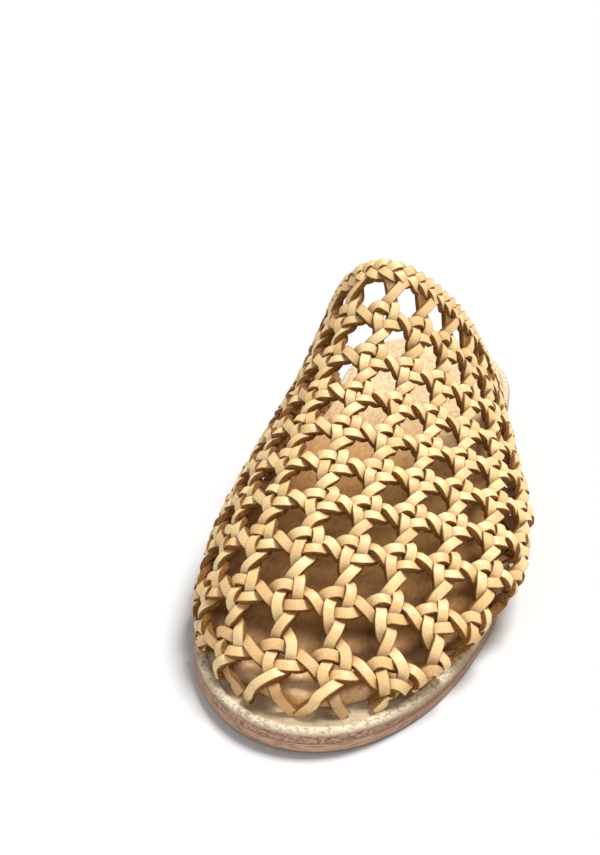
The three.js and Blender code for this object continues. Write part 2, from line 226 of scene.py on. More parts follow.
def weavePoints(q, r):  # middle of the upper's wall at columns q and rows r
    arc = arcAt(q, r)
    low = np.maximum(arc, arcOfRow(weave["lowestRow"]))
    points, widths = lastSections(low)
    width = widthAt(q, r)
    over = np.maximum(np.maximum(width - widths[:, 0], widths[:, -1] - width), 0)
    w = np.clip(width, widths[:, -1], widths[:, 0])
    i = np.clip((widths > w[:, None]).sum(axis=1) - 1, 0, len(sectionAngles) - 2)
    rows = np.arange(len(q))
    t = (widths[rows, i] - w) / (widths[rows, i] - widths[rows, i + 1])
    found = points[rows, i] * (1 - t[:, None]) + points[rows, i + 1] * t[:, None]
    found[:, 2] -= low - arc + over
    return found, over


def weaveNormals(q, r):
    step = weave["normalStep"]
    over = weavePoints(q, r)[1]
    level = np.where(over > 0, np.maximum(r, weave["lowestRow"] + 2 * step), r)
    across = weavePoints(q + step, level)[0] - weavePoints(q - step, level)[0]
    along = weavePoints(q, level + step)[0] - weavePoints(q, level - step)[0]
    return unit(np.cross(across, along))


# The sole: the last's outline, widened by a ledge
sole = {
    "ledgeStation": [0, 12, 45, 90, 130, 180, 244],
    "ledgeMedial": [6.4, 4.2, 0.9, 0.6, 1.0, 1.9, 2.5],
    "ledgeLateral": [6.4, 4.9, 4.1, 1.9, 1.7, 2.2, 2.5],
    "steps": 90,
    "solidSteps": 34,
    "roundSteps": 6,
    "flatStep": 0.4,
    "rimWidth": 1.2,
    "sharpAngle": 50.0,
    # painted light and shade on the outer toe, by station
    "toeLightStation": [0, 15, 60, 95],
    "toeLightShare": [0, 0.6, 0.6, 0],
    "toeLightHeight": 3.5,
}

outsole = {
    "bottom": 0.0,
    "top": 2.6,
    "reach": -0.1,
    "lowRound": 0.5,
    "highRound": 0.25,
}

ledgeMedialAt = tableCurve(sole["ledgeStation"], sole["ledgeMedial"])
ledgeLateralAt = tableCurve(sole["ledgeStation"], sole["ledgeLateral"])


def soleOutline(steps, offsetAt):  # closed ring of (x, station), from the toe round the outer side
    k = np.arange(2 * steps)
    onLateral = k <= steps
    turn = np.where(onLateral, k, 2 * steps - k)
    s = lastShape["footLength"] / 2 * (1 - np.cos(np.pi * turn / steps))
    x = np.where(onLateral, lateralAt(s), -medialAt(s)) + shiftAt(s)
    ring = np.stack([x, s], -1)
    ahead, behind = np.roll(ring, -1, axis=0), np.roll(ring, 1, axis=0)
    out = np.stack([ahead[:, 1] - behind[:, 1], behind[:, 0] - ahead[:, 0]], -1)
    return ring + unit(out) * offsetAt(s, onLateral)[:, None]


def ledgeAt(s, onLateral):
    return np.where(onLateral, ledgeLateralAt(s), ledgeMedialAt(s))


# The solids are centred on the whole shoe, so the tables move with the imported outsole
solidOutline = soleOutline(sole["solidSteps"], lambda s, side: ledgeAt(s, side) + outsole["reach"])
outsoleHigh = np.array(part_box("outsole")[1]) / mm
frameMove = np.append(outsoleHigh[:2] - solidOutline.max(axis=0), 0.0)


def toFrame(points):  # millimetres on the last to metres in the shared frame
    lifted = np.array(points, float)
    lifted[:, 2] += liftAt(lifted[:, 1])
    return (lifted + frameMove) * mm


# Shader helpers, and the groups that the leathers share
def addNode(tree, kind, values=None, **settings):
    node = tree.nodes.new(kind)
    for name, value in settings.items():
        setattr(node, name, value)
    for name, value in (values or {}).items():
        if hasattr(value, "is_output"):
            tree.links.new(value, node.inputs[name])
        else:
            node.inputs[name].default_value = value
    return node


def ramp(tree, factor, places, colours):
    node = addNode(tree, "ShaderNodeValToRGB", {"Fac": factor})
    elements = node.color_ramp.elements
    while len(elements) < len(places):
        elements.new(0.5)  # it gets its own place below
    for element, place, colour in zip(elements, places, colours):
        element.position = place
        element.color = (*colour, 1)
    return node.outputs["Color"]


def mixColour(tree, factor, first, second, blend="MIX"):  # 6 and 7 are the node's two colours
    first, second = (c if hasattr(c, "is_output") else (*c, 1) for c in (first, second))
    values = {0: factor, 6: first, 7: second}
    return addNode(tree, "ShaderNodeMix", values, data_type="RGBA", blend_type=blend).outputs[2]


def combine(tree, operation, first, second):
    return addNode(tree, "ShaderNodeMath", {0: first, 1: second}, operation=operation).outputs[0]


def smoothBetween(tree, value, low, high):
    limits = {"Value": value, "From Min": low, "From Max": high}
    node = addNode(tree, "ShaderNodeMapRange", limits, interpolation_type="SMOOTHSTEP")
    return node.outputs["Result"]


def maskOf(tree, name):
    return addNode(tree, "ShaderNodeAttribute", attribute_name=name).outputs["Fac"]


def newGroup(name, inputs, outputs):
    group = bpy.data.node_groups.new(name, "ShaderNodeTree")
    for label, kind, default in inputs:
        socket = group.interface.new_socket(label, in_out="INPUT", socket_type=kind)
        socket.default_value = default
    for label in outputs:
        group.interface.new_socket(label, in_out="OUTPUT", socket_type="NodeSocketFloat")
    return group, group.nodes.new("NodeGroupInput"), group.nodes.new("NodeGroupOutput")


grainLook = {
    "poreScale": 1800.0,
    "poreDetail": 3.0,
    "poreShare": 0.6,
    "mottleScale": 90.0,
    "mottleDetail": 4.0,
    "mottleRoughness": 0.6,
}


def makeGrainGroup():
    look = grainLook
    inputs = [
        ("Vector", "NodeSocketVector", (0, 0, 0)),
        ("Pore Scale", "NodeSocketFloat", look["poreScale"]),
        ("Mottle Scale", "NodeSocketFloat", look["mottleScale"]),
    ]
    group, given, result = newGroup("leatherGrain", inputs, ("Height", "Mottle", "Speck"))
    small = {"Vector": given.outputs["Vector"], "Scale": given.outputs["Pore Scale"]}
    large = {"Vector": given.outputs["Vector"], "Scale": given.outputs["Mottle Scale"]}
    large.update({"Detail": look["mottleDetail"], "Roughness": look["mottleRoughness"]})
    pores = addNode(group, "ShaderNodeTexVoronoi", small, feature="DISTANCE_TO_EDGE")
    fine = addNode(group, "ShaderNodeTexNoise", {**small, "Detail": look["poreDetail"]})
    broad = addNode(group, "ShaderNodeTexNoise", large)
    edges = combine(group, "MULTIPLY", pores.outputs["Distance"], look["poreShare"])
    height = combine(group, "ADD", edges, fine.outputs[0])
    group.links.new(height, result.inputs["Height"])
    group.links.new(broad.outputs[0], result.inputs["Mottle"])
    group.links.new(fine.outputs[0], result.inputs["Speck"])
    return group


fibreLook = {
    "scale": 900.0,
    "stretch": (1, 1, 6),
    "detail": 5.0,
    "roughness": 0.65,
    "pitShare": 0.5,
}


def makeFibreGroup():
    look = fibreLook
    inputs = [
        ("Vector", "NodeSocketVector", (0, 0, 0)),
        ("Scale", "NodeSocketFloat", look["scale"]),
        ("Stretch", "NodeSocketVector", look["stretch"]),
    ]
    group, given, result = newGroup("cutFibres", inputs, ("Height", "Streak"))
    spread = {0: given.outputs["Vector"], 1: given.outputs["Stretch"]}
    stretched = addNode(group, "ShaderNodeVectorMath", spread, operation="MULTIPLY")
    fine = {"Vector": stretched.outputs[0], "Scale": given.outputs["Scale"]}
    frayed = {**fine, "Detail": look["detail"], "Roughness": look["roughness"]}
    streak = addNode(group, "ShaderNodeTexNoise", frayed)
    pits = addNode(group, "ShaderNodeTexVoronoi", fine)
    sunk = combine(group, "MULTIPLY", pits.outputs["Distance"], look["pitShare"])
    height = combine(group, "ADD", streak.outputs[0], sunk)
    group.links.new(height, result.inputs["Height"])
    group.links.new(streak.outputs[0], result.inputs["Streak"])
    return group


grainGroup = makeGrainGroup()
fibreGroup = makeFibreGroup()


def newMaterial(name, finish):
    material = bpy.data.materials.new(name)
    material.use_nodes = True
    tree = material.node_tree
    shader = tree.nodes["Principled BSDF"]
    shader.inputs["Roughness"].default_value = finish["roughness"]
    shader.inputs["Specular IOR Level"].default_value = finish["specular"]
    return material, tree, shader


def placeLeather(tree, finish):  # the place on the piece, its grain and its fibres
    place = addNode(tree, "ShaderNodeTexCoord").outputs["Object"]
    scales = {"Pore Scale": finish["grainScale"], "Mottle Scale": finish["mottleScale"]}
    grain = addNode(tree, "ShaderNodeGroup", {"Vector": place, **scales}, node_tree=grainGroup)
    cut = {"Scale": finish["fibreScale"], "Stretch": finish["fibreStretch"]}
    fibres = addNode(tree, "ShaderNodeGroup", {"Vector": place, **cut}, node_tree=fibreGroup)
    return place, grain.outputs, fibres.outputs


def addBump(tree, shader, finish, first, second):
    values = {"Height": combine(tree, "ADD", first, second)}
    values.update({"Strength": finish["bump"], "Distance": finish["bumpDepth"]})
    bump = addNode(tree, "ShaderNodeBump", values)
    tree.links.new(bump.outputs["Normal"], shader.inputs["Normal"])


stripFinish = {
    "pale": (0.96, 0.725, 0.365),
    "honey": (0.885, 0.57, 0.262),
    "speck": (0.87, 0.78, 0.66),
    "paintedShade": (0.27, 0.10, 0.012),
    "cut": (0.39, 0.16, 0.02),
    "cutDark": (0.085, 0.03, 0.0045),
    "faceStops": (0.35, 1.0),
    "speckStops": (0.34, 0.56),
    "cutStops": (0.4, 0.62),
    "toneShare": 0.7,
    "mottleShare": 0.8,
    "paintedShadeShare": 0.8,
    "roughness": 0.4,
    "cutRoughness": 0.4,
    "specular": 0.4,
    "grainScale": 2400.0,
    "mottleScale": 150.0,
    "fibreScale": 2800.0,
    "fibreStretch": (1, 1, 1),
    "bump": 0.35,
    "bumpDepth": 0.00025,
}


def makeStripLeather():
    finish = stripFinish
    material, tree, shader = newMaterial("stripLeather", finish)
    _, grain, fibres = placeLeather(tree, finish)
    tone = combine(tree, "MULTIPLY", maskOf(tree, "tone"), finish["toneShare"])
    mottle = combine(tree, "MULTIPLY", grain["Mottle"], finish["mottleShare"])
    shade = combine(tree, "ADD", tone, mottle)
    face = ramp(tree, shade, finish["faceStops"], (finish["honey"], finish["pale"]))
    # painted shade: the face darkens towards dark brown where the strip dips under another strip
    paintedShade = combine(tree, "MULTIPLY", maskOf(tree, "under"), finish["paintedShadeShare"])
    face = mixColour(tree, paintedShade, face, finish["paintedShade"])
    speck = ramp(tree, grain["Speck"], finish["speckStops"], (finish["speck"], (1, 1, 1)))
    face = mixColour(tree, 1.0, face, speck, "MULTIPLY")
    edge = ramp(tree, fibres["Streak"], finish["cutStops"], (finish["cutDark"], finish["cut"]))
    cutMask = maskOf(tree, "cut")
    tree.links.new(mixColour(tree, cutMask, face, edge), shader.inputs["Base Color"])
    rough = combine(tree, "MULTIPLY", cutMask, finish["cutRoughness"])
    rough = combine(tree, "ADD", rough, finish["roughness"])
    tree.links.new(rough, shader.inputs["Roughness"])
    frayed = combine(tree, "MULTIPLY", cutMask, fibres["Height"])
    addBump(tree, shader, finish, grain["Height"], frayed)
    return material


insoleFinish = {
    "paintedLightAndShade": {  # painted light and shade: pale where lit at the toe and heel, dark under the vamp; places along the shoe in metres, toe first
        -0.106: (1.0, 0.69, 0.385),
        -0.096: (0.71, 0.42, 0.195),
        -0.085: (0.28, 0.13, 0.032),
        -0.066: (0.50, 0.265, 0.085),
        0.01: (0.58, 0.32, 0.11),
        0.065: (0.91, 0.71, 0.44),
    },
    "edge": (1.0, 0.69, 0.385),
    "fleck": (0.70, 0.61, 0.52),
    "fleckStops": (0.40, 0.64),
    "mottleShare": 0.35,
    "napShare": 0.7,
    "roughness": 0.92,
    "specular": 0.15,
    "sheen": 0.1,
    "sheenRoughness": 0.6,
    "grainScale": 1500.0,
    "mottleScale": 45.0,
    "fibreScale": 800.0,
    "fibreStretch": (1, 0.4, 1),
    "bump": 0.6,
    "bumpDepth": 0.0004,
}


def makeInsoleSuede():
    finish = insoleFinish
    material, tree, shader = newMaterial("insoleSuede", finish)
    shader.inputs["Sheen Weight"].default_value = finish["sheen"]
    shader.inputs["Sheen Roughness"].default_value = finish["sheenRoughness"]
    place, grain, fibres = placeLeather(tree, finish)
    mottle = combine(tree, "MULTIPLY", grain["Mottle"], finish["mottleShare"])
    streak = combine(tree, "MULTIPLY", fibres["Streak"], finish["napShare"])
    nap = combine(tree, "ADD", mottle, streak)
    along = addNode(tree, "ShaderNodeSeparateXYZ", {0: place}).outputs["Y"]
    spots = list(finish["paintedLightAndShade"])
    limits = {"Value": along, "From Min": spots[0], "From Max": spots[-1]}
    share = addNode(tree, "ShaderNodeMapRange", limits).outputs["Result"]
    stops = [(spot - spots[0]) / (spots[-1] - spots[0]) for spot in spots]
    # painted light and shade along the footbed: pale at the lit toe and heel, darker under the
    # vamp where shade falls
    footbed = ramp(tree, share, stops, finish["paintedLightAndShade"].values())
    whole = mixColour(tree, maskOf(tree, "side"), footbed, finish["edge"])
    fleck = ramp(tree, nap, finish["fleckStops"], (finish["fleck"], (1, 1, 1)))
    tree.links.new(mixColour(tree, 1.0, whole, fleck, "MULTIPLY"), shader.inputs["Base Color"])
    addBump(tree, shader, finish, fibres["Height"], grain["Speck"])
    return material


midsoleFinish = {
    "top": (0.60, 0.455, 0.29),
    "topDark": (0.36, 0.245, 0.145),
    # painted highlight: the rim colours light the ledge's rounded outer edge, while the top
    # colours keep the inner ledge darker as painted shade under the strips
    "rim": (0.82, 0.71, 0.525),
    "rimDark": (0.46, 0.35, 0.235),
    "side": (0.59, 0.365, 0.25),
    "sideDark": (0.235, 0.125, 0.075),
    "topStops": (0.35, 0.58),
    "rimStops": (0.4, 0.52),
    "sideStops": (0.40, 0.58),
    "rimBetween": (0.05, 1.0),
    "rimShare": 0.9,
    "sideBetween": (0.35, 0.65),
    "raggedMiddle": 0.5,
    "raggedness": 1.5,
    "roughness": 0.7,
    "specular": 0.25,
    "grainScale": 1400.0,
    "mottleScale": 120.0,
    "fibreScale": 800.0,
    "fibreStretch": (1, 1, 2.2),
    "bump": 0.6,
    "bumpDepth": 0.0004,
}


def makeMidsoleLeather():
    finish = midsoleFinish
    material, tree, shader = newMaterial("weltLeather", finish)
    _, grain, fibres = placeLeather(tree, finish)
    top = ramp(tree, grain["Mottle"], finish["topStops"], (finish["topDark"], finish["top"]))
    raw = ramp(tree, fibres["Streak"], finish["sideStops"], (finish["sideDark"], finish["side"]))
    # painted shade: the outer toe's side darkens below
    raw = mixColour(tree, maskOf(tree, "toeLightAndShade"), raw, finish["sideDark"])
    ragged = combine(tree, "SUBTRACT", fibres["Streak"], finish["raggedMiddle"])
    ragged = combine(tree, "MULTIPLY", ragged, finish["raggedness"])
    side = combine(tree, "ADD", maskOf(tree, "side"), ragged)
    # painted highlight along the ledge's rounded rim, against a darker top as painted shade under
    # the strips
    rimHighlight = smoothBetween(tree, maskOf(tree, "rim"), *finish["rimBetween"])
    rim = ramp(tree, fibres["Streak"], finish["rimStops"], (finish["rimDark"], finish["rim"]))
    top = mixColour(tree, combine(tree, "MULTIPLY", rimHighlight, finish["rimShare"]), top, rim)
    side = smoothBetween(tree, side, *finish["sideBetween"])
    tree.links.new(mixColour(tree, side, top, raw), shader.inputs["Base Color"])
    addBump(tree, shader, finish, fibres["Height"], grain["Height"])
    return material


outsoleFinish = {
    "light": (0.60, 0.365, 0.235),
    "dark": (0.30, 0.16, 0.095),
    "under": (0.50, 0.34, 0.23),
    "edgeStops": (0.36, 0.54),
    "roughness": 0.55,
    "specular": 0.35,
    "grainScale": 1600.0,
    "mottleScale": 50.0,
    "fibreScale": 260.0,
    "fibreStretch": (1, 1, 7),
    "bump": 0.35,
    "bumpDepth": 0.0003,
}


def makeOutsoleLeather():
    finish = outsoleFinish
    material, tree, shader = newMaterial("soleLeather", finish)
    _, grain, fibres = placeLeather(tree, finish)
    edge = ramp(tree, fibres["Streak"], finish["edgeStops"], (finish["dark"], finish["light"]))
    # painted shade: the outer toe's edge darkens
    edge = mixColour(tree, maskOf(tree, "toeLightAndShade"), edge, finish["dark"])
    under = mixColour(tree, grain["Mottle"], finish["dark"], finish["under"])
    whole = mixColour(tree, maskOf(tree, "side"), under, edge)
    tree.links.new(whole, shader.inputs["Base Color"])
    addBump(tree, shader, finish, fibres["Height"], grain["Height"])
    return material


stripLeather = makeStripLeather()
insoleSuede = makeInsoleSuede()
weltLeather = makeMidsoleLeather()
soleLeather = makeOutsoleLeather()
print("materials ready")


# Sole pieces: stacked outlines with a rounded profile
midsole = {
    "bottom": 2.7,
    "top": 6.0,
    "reach": 0.0,
    "lowRound": 0.3,
    "highRound": 1.8,
    "scoredLine": [(3.1, 0), (3.3, 0.16), (3.45, 0.16), (3.65, 0)],
}

insole = {
    "bottom": 6.3,
    "top": 10.0,
    "reach": 0.0,
    "lowRound": 0.3,
    "highRound": 2.2,
    "inset": 1.5,
    "toe": 0.6,
    "toeBow": 0.012,
    "toeInset": 2.6,
    "toeInsetEnd": 45.0,
}


def storeMask(mesh, name, values):
    stored = mesh.attributes.new(name, "FLOAT", "POINT")
    stored.data.foreach_set("value", np.array(values, np.float32))


def outerToe(ring):  # painted light and shade on the outer toe's edge: paler above, darker below
    return np.interp(ring[:, 1], sole["toeLightStation"], sole["toeLightShare"]) * (ring[:, 0] > 0)


def stackRings(name, profile, material, outlineFor):
    rings, masks = [], {"side": [], "rim": [], "toeLightAndShade": []}
    for offset, z, side, rim in profile:
        ring = outlineFor(offset)
        toeLightAndShade = outerToe(ring)
        rings.append(toFrame(np.column_stack([ring, np.full(len(ring), z)])))
        # painted highlight: above this height the outer toe's side takes the paler top colours
        masks["side"] += list(side * (1 - toeLightAndShade * (z > sole["toeLightHeight"])))
        masks["rim"] += [rim] * len(ring)
        masks["toeLightAndShade"] += list(toeLightAndShade)
    size, half = len(rings[0]), len(rings[0]) // 2
    faces = []
    for k in range(len(rings) - 1):
        for i in range(size):
            j = (i + 1) % size
            faces.append((k * size + i, k * size + j, (k + 1) * size + j, (k + 1) * size + i))
    top = (len(rings) - 1) * size
    for k in range(half):
        strip = [k, k + 1, (size - k - 1) % size, (size - k) % size]
        strip = list(dict.fromkeys(strip))
        faces.append([top + v for v in strip])
        faces.append(strip[::-1])
    mesh = bpy.data.meshes.new(name)
    mesh.from_pydata(np.concatenate(rings).tolist(), [], faces)
    for label, values in masks.items():
        storeMask(mesh, label, values)
    mesh.materials.append(material)
    mesh.shade_smooth()
    mesh.set_sharp_from_angle(angle=math.radians(sole["sharpAngle"]))
    mesh.update()
    piece = bpy.data.objects.new(name, mesh)
    bpy.context.scene.collection.objects.link(piece)
    return piece


def roundedProfile(layer):  # offset, height, side mask and rim mask of each ring
    low, high, reach = layer["bottom"], layer["top"], layer["reach"]
    lowRound, highRound = layer["lowRound"], layer["highRound"]
    turns = np.linspace(0, math.pi / 2, sole["roundSteps"] + 1)
    rows = [(reach - lowRound - sole["flatStep"], low, 0.0, 0.0)]
    for turn in turns:
        out, up = math.sin(turn), 1 - math.cos(turn)
        rows.append((reach - lowRound * (1 - out), low + lowRound * up, 1.0, 0.0))
    for turn in turns:
        up = math.sin(turn)
        offset = reach - highRound * (1 - math.cos(turn))
        rows.append((offset, high - highRound * (1 - up), 1 - up, up))
    rows.append((reach - highRound - sole["flatStep"], high, 0.0, 1.0))
    rows.append((reach - highRound - sole["rimWidth"], high, 0.0, 0.0))
    return rows


def ledgeRing(offset):
    return soleOutline(sole["steps"], lambda s, side: ledgeAt(s, side) + offset)


def insoleRing(offset):
    def inset(s, side):
        toe = insole["toeInset"] * np.maximum(1 - s / insole["toeInsetEnd"], 0)
        return offset - insole["inset"] - toe

    ring = soleOutline(sole["steps"], inset)
    front = insole["toe"] - offset + insole["toeBow"] * ring[:, 0] ** 2
    nearToe = ring[:, 1] < lastShape["footLength"] / 2
    ring[:, 1] = np.where(nearToe, np.maximum(ring[:, 1], front), ring[:, 1])
    return ring


outsolePiece = stackRings("outsolePiece", roundedProfile(outsole), soleLeather, ledgeRing)
midsoleProfile = roundedProfile(midsole)
for inset, depth in midsole["scoredLine"]:
    midsoleProfile.append((-inset, midsole["top"] - depth, 0.0, 0.0))
midsolePiece = stackRings("midsolePiece", midsoleProfile, weltLeather, ledgeRing)
insolePiece = stackRings("insolePiece", roundedProfile(insole), insoleSuede, insoleRing)
print("sole pieces ready")


# Strip paths: each has its places, the way its face lies and its painted shade where it dips under
# another strip
def plateau(c):  # broadens the crests of a wave
    return 1.5 * c - 0.5 * c ** 3


def waver(chance, count, size):  # slow random drift along a strip
    knotCount = max(count // weave["knotSpacing"] + 2, weave["fewestKnots"])
    knots = chance.normal(0, size, knotCount)
    return np.interp(np.linspace(0, len(knots) - 1, count), np.arange(len(knots)), knots)


def resample(points, step):
    steps = np.linalg.norm(np.diff(points, axis=0), axis=1)
    lengths = np.concatenate([[0], np.cumsum(steps)])
    count = max(int(lengths[-1] / step), weave["fewestSteps"])
    return np.interp(np.linspace(0, lengths[-1], count + 1), lengths, np.arange(len(points)))


def layStrip(q, r, height, under, step, roll):
    base, _ = weavePoints(q, r)
    normals = weaveNormals(q, r)
    points = base + normals * height[:, None]
    inside = np.flatnonzero(points[:, 2] > midsole["top"] + weave["endGap"])
    if len(inside) < weave["fewestPoints"]:
        return None
    whole = slice(inside[0], inside[-1] + 1)
    at = resample(points[whole], step) + inside[0]
    order = np.arange(len(points))
    points = np.stack([np.interp(at, order, values) for values in points.T], -1)
    normals = np.stack([np.interp(at, order, values) for values in normals.T], -1)
    under = np.interp(at, order, under)
    tangents = unit(np.gradient(points, axis=0))
    normals = unit(normals - tangents * (normals * tangents).sum(axis=1, keepdims=True))
    side = np.cross(tangents, normals)
    turn = np.radians(roll(len(points)))[:, None]
    return toFrame(points), normals * np.cos(turn) + side * np.sin(turn), under


def pairPhase(t, first, last):  # past the outermost junctions the pairs cross sooner
    speed = weave["endCrossing"]
    held = np.clip(t, first, last)
    return held + speed * (t - held)


def pairSpread(phase, first, last):  # pairs swap sides between junctions and splay at the ends
    held = np.clip(phase, first - 0.5, last + 0.5)
    towards = np.where(phase < first, (-1) ** first, (-1) ** last)
    free = 1.5 * np.pi * np.abs(phase - held) * towards  # straight on at the wave's own slope
    return plateau(np.cos(np.pi * held)) - free


def pairHeight(phase, first, last):  # over and under, lying flat at the free ends
    held = np.clip(phase, first - 0.5, last + 0.5)
    return plateau(np.sin(3 * np.pi * held)) * np.clip(1 - 2 * np.abs(phase - held), 0, 1)


def paintedShadeMask(over):  # painted shade where a strip dips under another one
    return np.clip((weave["paintedShadeFrom"] - over) / (1 + weave["paintedShadeFrom"]), 0, 1)


def stripHeight(over):
    return weave["outward"] + weave["rise"] * over, paintedShadeMask(over)


def stripRoll(chance):
    return lambda count: waver(chance, count, weave["roll"])


def columnsInRow(row):
    columns = np.array(weave["columns"], float)
    rows = np.full(len(columns), float(row))
    place, widths = widthAt(columns, rows), lastSections(arcAt(columns, rows))[1]
    inside = np.minimum(widths[:, 0] - place, place - widths[:, -1]) > weave["junctionMargin"]
    return [int(column) for column in columns[inside]], widths[len(columns) // 2]


rowColumns = {row: columnsInRow(row) for row in range(1, weave["rowCount"] + 1)}


def weftStrips(chance):
    strips = []
    for row, (columns, widths) in rowColumns.items():
        reach = weave["endReach"]
        ends = np.array([widths[-1] - reach, widths[0] + reach])
        start, stop = (ends - weave["firstColumnArc"]) / weave["columnPitch"]
        q = np.linspace(start, stop, int((stop - start) * weave["samples"]))
        phase = pairPhase(q, columns[0], columns[-1])
        for sign in (1, -1):
            drift = waver(chance, len(q), weave["wander"] / weave["rowPitch"])
            spread = sign * weave["pairOffset"] * pairSpread(phase, columns[0], columns[-1])
            r = row + spread + drift
            over = -sign * pairHeight(phase, columns[0], columns[-1])
            strips.append(layStrip(q, r, *stripHeight(over), weave["step"], stripRoll(chance)))
    return [strip for strip in strips if strip]


def warpStrips(chance):
    strips = []
    for column in weave["columns"]:
        rows = [row for row, (columns, _) in rowColumns.items() if column in columns]
        if not rows:
            continue
        start, stop = weave["topRow"], rows[0] - weave["toeReach"]
        r = np.linspace(start, stop, int((start - stop) * weave["samples"]))
        phase = pairPhase(r, rows[0], rows[-1])
        for sign in (1, -1):
            drift = waver(chance, len(r), weave["wander"] / weave["columnPitch"])
            spread = sign * weave["pairOffset"] * pairSpread(phase, rows[0], rows[-1])
            q = column - spread + drift
            over = -sign * pairHeight(phase, rows[0], rows[-1])
            strips.append(layStrip(q, r, *stripHeight(over), weave["step"], stripRoll(chance)))
    return [strip for strip in strips if strip]


collarBraid = {
    "row": 9.8,
    "strands": 3,
    "period": 12.9,
    "swing": 2.5,
    "rise": 0.95,
    "lift": 0.4,
    "step": 0.8,
    "samples": 1200,
}


def collarStrips(chance):
    widths = lastSections(arcOfRow(np.array([collarBraid["row"]])))[1][0]
    reach = weave["endReach"]
    w = np.linspace(widths[-1] - reach, widths[0] + reach, collarBraid["samples"])
    q = (w - weave["firstColumnArc"]) / weave["columnPitch"]
    strips = []
    for strand in range(collarBraid["strands"]):
        turn = 2 * np.pi * (w / collarBraid["period"] + strand / collarBraid["strands"])
        r = collarBraid["row"] + collarBraid["swing"] * np.sin(turn) / weave["rowPitch"]
        over = np.sin(2 * turn)
        height = collarBraid["lift"] + collarBraid["rise"] * over
        paintedShade = paintedShadeMask(over)
        strips.append(layStrip(q, r, height, paintedShade, collarBraid["step"], stripRoll(chance)))
    return strips


# Geometry Nodes tree that sweeps a flat strip with soft corners along each path
def makeStripTree():
    tree = bpy.data.node_groups.new("stripSweep", "GeometryNodeTree")
    addSocket = tree.interface.new_socket
    addSocket("Geometry", in_out="INPUT", socket_type="NodeSocketGeometry")
    for label in ("Strip Width", "Strip Thickness", "Corner Radius"):
        addSocket(label, in_out="INPUT", socket_type="NodeSocketFloat")
    addSocket("Leather", in_out="INPUT", socket_type="NodeSocketMaterial")
    addSocket("Geometry", in_out="OUTPUT", socket_type="NodeSocketGeometry")
    given, result = tree.nodes.new("NodeGroupInput"), tree.nodes.new("NodeGroupOutput")
    link = tree.links.new

    path = addNode(tree, "GeometryNodeMeshToCurve")
    link(given.outputs["Geometry"], path.inputs["Mesh"])
    named = {"Name": "lie"}
    lie = addNode(tree, "GeometryNodeInputNamedAttribute", named, data_type="FLOAT_VECTOR")
    facing = addNode(tree, "GeometryNodeSetCurveNormal", mode="FREE")
    link(path.outputs["Curve"], facing.inputs["Curve"])
    link(lie.outputs["Attribute"], facing.inputs["Normal"])

    corners = addNode(tree, "GeometryNodeCurvePrimitiveQuadrilateral")
    link(given.outputs["Strip Thickness"], corners.inputs["Width"])
    link(given.outputs["Strip Width"], corners.inputs["Height"])
    rounding = {"Count": weave["cornerSteps"]}
    softened = addNode(tree, "GeometryNodeFilletCurve", rounding, mode="POLY")
    link(corners.outputs["Curve"], softened.inputs["Curve"])
    link(given.outputs["Corner Radius"], softened.inputs["Radius"])

    place = addNode(tree, "GeometryNodeInputPosition").outputs["Position"]  # the cut edges' mask
    where = addNode(tree, "ShaderNodeSeparateXYZ", {0: place})
    away = addNode(tree, "ShaderNodeMath", {0: where.outputs["Y"]}, operation="ABSOLUTE")
    half = addNode(tree, "ShaderNodeMath", {1: 0.5}, operation="MULTIPLY")
    link(given.outputs["Strip Width"], half.inputs[0])
    limits = []
    for share in weave["cutFrom"], weave["cutFull"]:
        inward = addNode(tree, "ShaderNodeMath", {1: share}, operation="MULTIPLY")
        link(given.outputs["Corner Radius"], inward.inputs[0])
        limits.append(addNode(tree, "ShaderNodeMath", operation="SUBTRACT"))
        link(half.outputs[0], limits[-1].inputs[0])
        link(inward.outputs[0], limits[-1].inputs[1])
    mask = addNode(tree, "ShaderNodeMapRange", {"Value": away.outputs[0]})
    link(limits[0].outputs[0], mask.inputs["From Min"])
    link(limits[1].outputs[0], mask.inputs["From Max"])
    edged = addNode(tree, "GeometryNodeStoreNamedAttribute", {"Name": "cut"}, data_type="FLOAT")
    link(softened.outputs["Curve"], edged.inputs["Geometry"])
    link(mask.outputs["Result"], edged.inputs["Value"])

    swept = addNode(tree, "GeometryNodeCurveToMesh", {"Fill Caps": True})
    link(facing.outputs["Curve"], swept.inputs["Curve"])
    link(edged.outputs["Geometry"], swept.inputs["Profile Curve"])
    smooth = addNode(tree, "GeometryNodeSetShadeSmooth")
    link(swept.outputs["Mesh"], smooth.inputs["Geometry"])
    realized = addNode(tree, "GeometryNodeRealizeInstances")
    link(smooth.outputs["Geometry"], realized.inputs["Geometry"])
    dressed = addNode(tree, "GeometryNodeSetMaterial")
    link(realized.outputs["Geometry"], dressed.inputs["Geometry"])
    link(given.outputs["Leather"], dressed.inputs["Material"])
    link(dressed.outputs["Geometry"], result.inputs["Geometry"])
    return tree


stripTree = makeStripTree()


